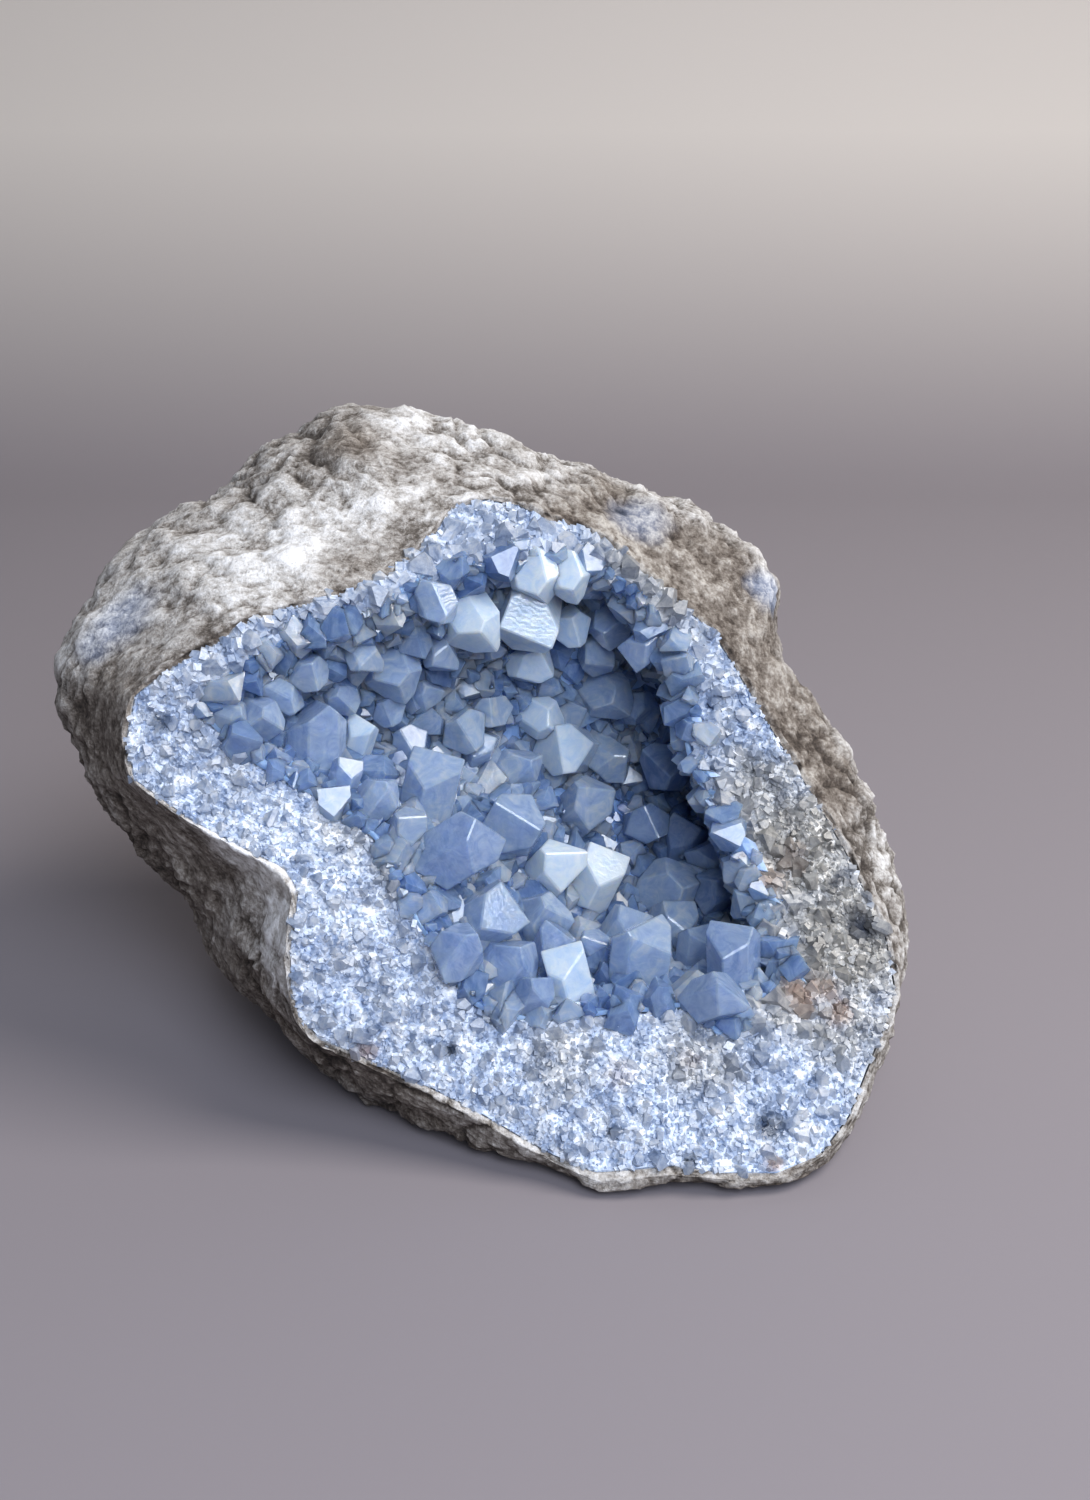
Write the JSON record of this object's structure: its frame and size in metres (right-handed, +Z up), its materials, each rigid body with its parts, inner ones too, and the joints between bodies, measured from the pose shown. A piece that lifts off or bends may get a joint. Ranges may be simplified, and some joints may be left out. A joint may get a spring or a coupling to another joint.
{
  "type": "celestite geode",
  "caption": "Broken-open celestite geode: a limestone rind, a granular celestite band and a hollow lined with blocky pale blue crystals.",
  "frame": {"origin": "middle of the footprint's box, on the surface that the stone rests on", "axes": "+Z up; -Y to the front, where the hollow opens; +X to the right as seen from the front, along the longest side"},
  "size_m": [0.203, 0.168, 0.1419],
  "materials": {
    "weathered_limestone": "rough, weathered",
    "granular_celestite": "sugary, broken",
    "clear_celestite": "clear to milky, glassy faces"
  },
  "bodies": {
    "root": {"limestone_rind": "weathered_limestone", "celestite_band": "granular_celestite", "crystal_crust": "clear_celestite"}
  },
  "joints": []
}
